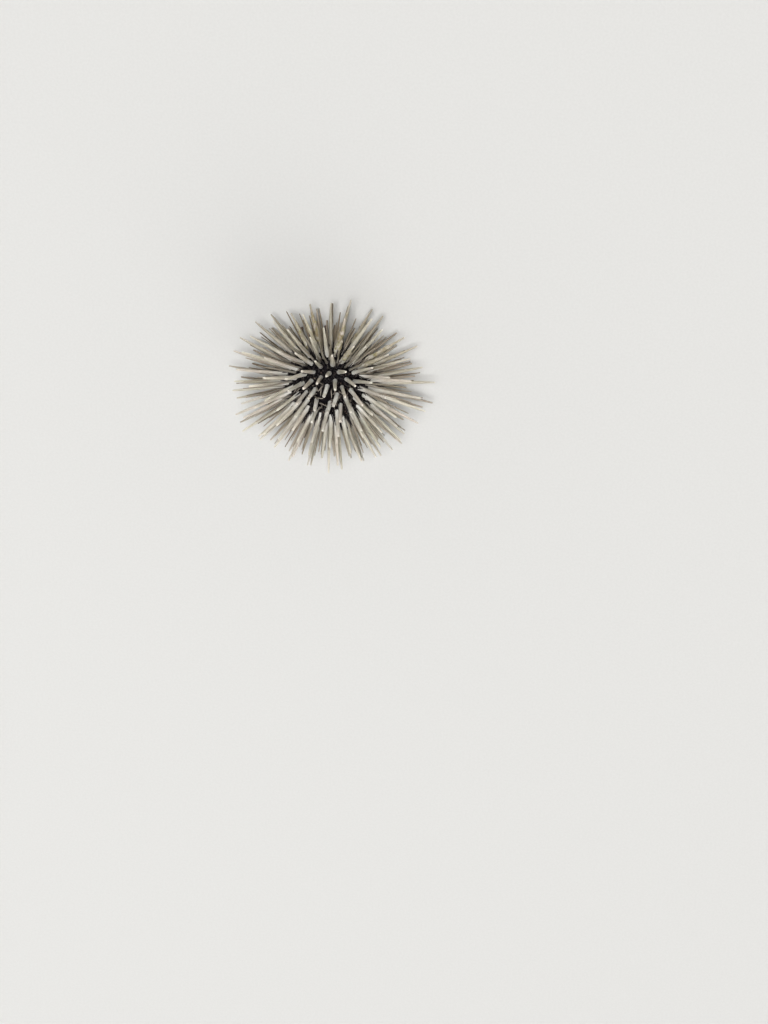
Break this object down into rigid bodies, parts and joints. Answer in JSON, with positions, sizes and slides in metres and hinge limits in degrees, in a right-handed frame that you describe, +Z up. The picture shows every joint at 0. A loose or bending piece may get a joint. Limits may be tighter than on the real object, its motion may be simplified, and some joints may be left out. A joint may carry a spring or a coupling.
{
  "type": "rock-boring urchin",
  "caption": "Life-size rock-boring urchin: an oval domed test, mouth down, covered all round in stout pale pointed spines, with short props and tube feet beneath.",
  "frame": {"origin": "bottom centre of the bounding box, on the floor", "axes": "+X along the test's long axis (image right in the picture), +Y along its short axis (image up), +Z up out of the apex, away from the mouth"},
  "size_m": [0.0992, 0.0896, 0.0413],
  "materials": {
    "spined_test": "matt pale spines on a near-black skinned test",
    "apical_plates": "matt dark plates",
    "dark_skin": "soft moist dark skin",
    "teeth": "pale polished tooth tips"
  },
  "bodies": {
    "root": {"ambulacrum_I": "spined_test", "ambulacrum_II": "spined_test", "ambulacrum_III": "spined_test", "ambulacrum_IV": "spined_test", "ambulacrum_V": "spined_test", "interambulacrum_1": "spined_test", "interambulacrum_2": "spined_test", "interambulacrum_3": "spined_test", "interambulacrum_4": "spined_test", "interambulacrum_5": "spined_test", "apical_disc": "apical_plates", "madreporite": "apical_plates", "periproct": "dark_skin", "peristome": "dark_skin", "teeth": "teeth"}
  },
  "joints": []
}
